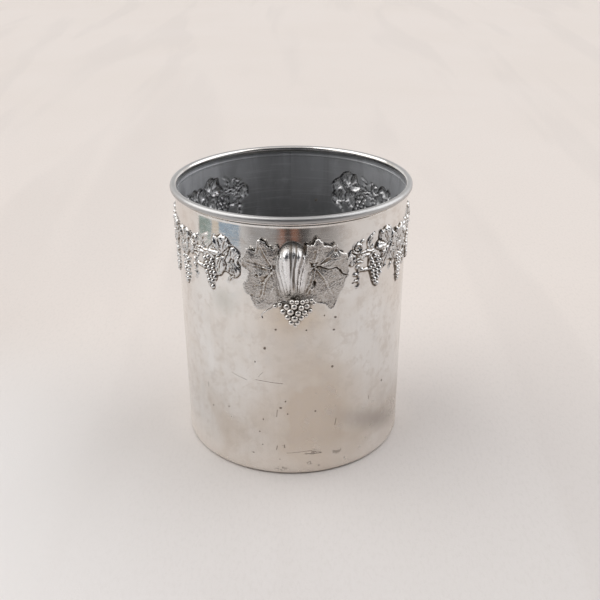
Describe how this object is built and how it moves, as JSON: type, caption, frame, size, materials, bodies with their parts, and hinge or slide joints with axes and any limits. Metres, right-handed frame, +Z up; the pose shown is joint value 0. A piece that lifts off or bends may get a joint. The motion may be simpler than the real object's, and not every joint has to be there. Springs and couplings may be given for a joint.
{
  "type": "champagne bucket",
  "caption": "Cylindrical silver champagne bucket with a rolled rim, an embossed vine garland and cast vine-leaf lugs with grapes on opposite sides.",
  "frame": {"origin": "centre of the base, on the surface the bucket stands on", "axes": "+Z up along the bucket's axis, -Y towards the front lug, +X to the right seen from the front"},
  "size_m": [0.1766, 0.1944, 0.203],
  "materials": {
    "wall": "worn silver-coloured sheet metal, satin polish with dark tarnish in the embossing",
    "floor_plate": "dull grey silver-coloured sheet, scratched",
    "wire": "drawn steel wire, hidden in the bead",
    "handle": "cast silver-coloured metal, polished on the high places, brown-grey tarnish in the hollows",
    "grapes": "cast silver-coloured metal, bright grapes with dark gaps",
    "pins": "dull grey metal, filed flush"
  },
  "bodies": {
    "root": {"wall": "wall", "floor_plate": "floor_plate", "rim_wire": "wire", "front_handle": "handle", "front_grapes": "grapes", "front_pins": "pins", "back_handle": "handle", "back_grapes": "grapes", "back_pins": "pins"}
  },
  "joints": []
}
